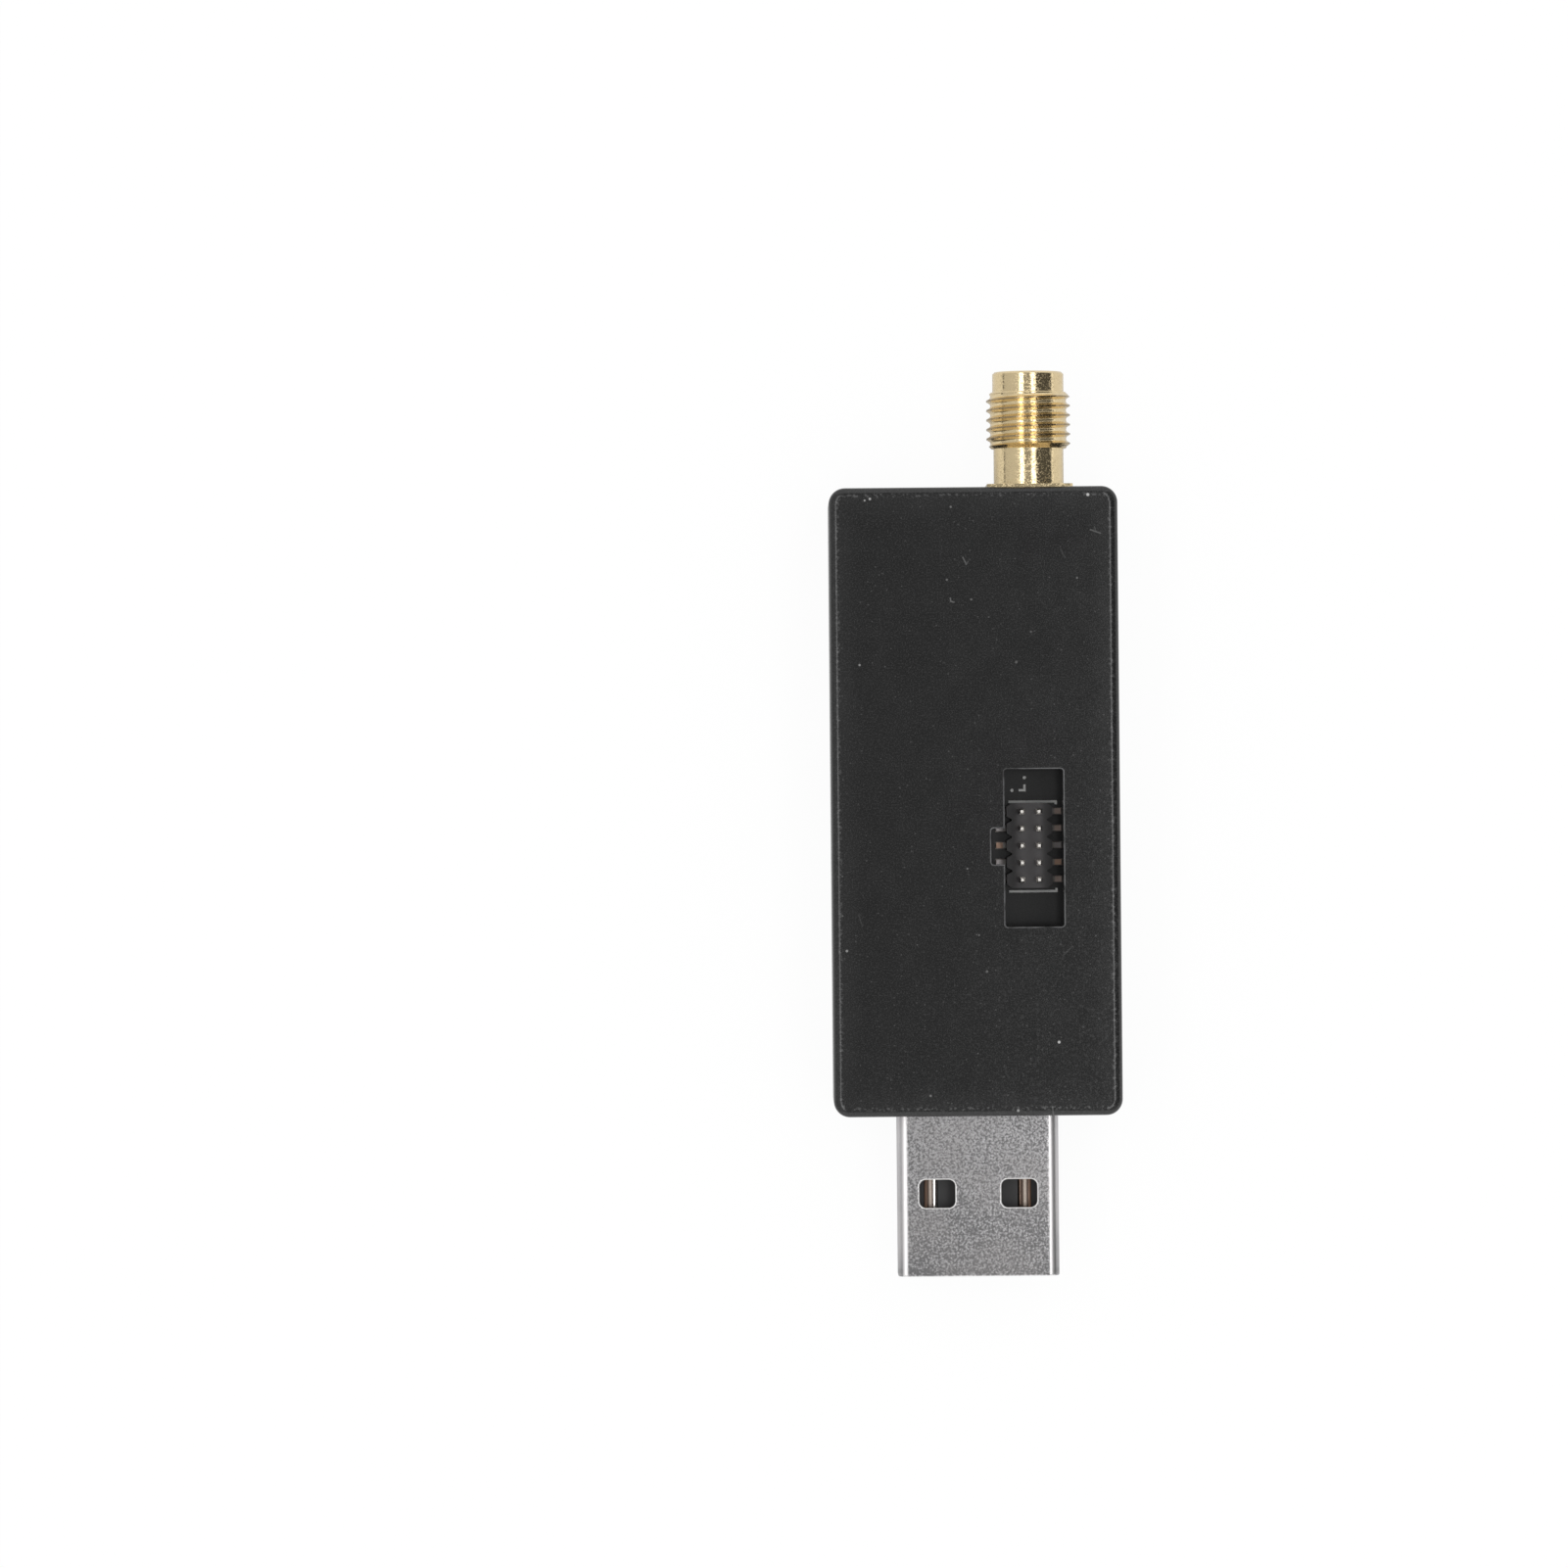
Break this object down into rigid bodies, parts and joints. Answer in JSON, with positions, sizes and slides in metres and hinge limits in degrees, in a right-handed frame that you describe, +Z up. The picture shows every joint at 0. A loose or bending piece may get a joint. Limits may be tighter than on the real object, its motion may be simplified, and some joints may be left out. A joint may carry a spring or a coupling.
{
  "type": "smart home usb radio stick",
  "caption": "Short black USB stick with a steel USB plug at one end, a gold threaded antenna jack at the other and a window over a small debug header.",
  "frame": {"origin": "bottom centre of the bounding box: under the middle of the overall length, on the case's floor", "axes": "+Y from the USB plug to the antenna jack, +Z up out of the face with the window, +X to the right seen from above with the jack at the top"},
  "size_m": [0.0214, 0.0672, 0.011],
  "materials": {
    "case_plastic": "moulded, fine matte grain with dust specks",
    "board_mask": "black solder mask with white printed marks",
    "plug_steel": "nickel-plated steel sheet with fine mottling",
    "plug_plastic": "moulded, satin",
    "contact_gold": "thin gold plate over copper alloy",
    "jack_gold": "polished gold plate",
    "jack_plastic": "white, waxy",
    "header_plastic": "moulded, satin",
    "header_gold": "thin gold plate",
    "chip_plastic": "moulded, matte",
    "crystal_metal": "satin metal lid",
    "resistor_ceramic": "glazed top with tinned ends",
    "capacitor_ceramic": "fired ceramic with tinned ends",
    "inductor_ceramic": "fired ceramic with tinned ends"
  },
  "bodies": {
    "root": {"top_shell": "case_plastic", "bottom_shell": "case_plastic", "circuit_board": "board_mask", "usb_plug_shell": "plug_steel", "usb_plug_insulator": "plug_plastic", "usb_contact_supply": "contact_gold", "usb_contact_data_minus": "contact_gold", "usb_contact_data_plus": "contact_gold", "usb_contact_ground": "contact_gold", "antenna_jack_body": "jack_gold", "antenna_jack_insulator": "jack_plastic", "antenna_jack_contact": "jack_gold", "debug_header_body": "header_plastic", "radio_chip": "chip_plastic", "amplifier_chip": "chip_plastic", "main_crystal": "crystal_metal", "clock_crystal": "crystal_metal", "voltage_regulator": "chip_plastic", "debug_header_pin_01": "header_gold", "debug_header_pin_02": "header_gold", "debug_header_pin_03": "header_gold", "debug_header_pin_04": "header_gold", "debug_header_pin_05": "header_gold", "debug_header_pin_06": "header_gold", "debug_header_pin_07": "header_gold", "debug_header_pin_08": "header_gold", "debug_header_pin_09": "header_gold", "debug_header_pin_10": "header_gold", "resistor_01": "resistor_ceramic", "resistor_02": "resistor_ceramic", "resistor_03": "resistor_ceramic", "resistor_04": "resistor_ceramic", "capacitor_01": "capacitor_ceramic", "capacitor_02": "capacitor_ceramic", "capacitor_03": "capacitor_ceramic", "capacitor_04": "capacitor_ceramic", "capacitor_05": "capacitor_ceramic", "capacitor_06": "capacitor_ceramic", "capacitor_07": "capacitor_ceramic", "capacitor_08": "capacitor_ceramic", "inductor_01": "inductor_ceramic", "inductor_02": "inductor_ceramic"}
  },
  "joints": []
}
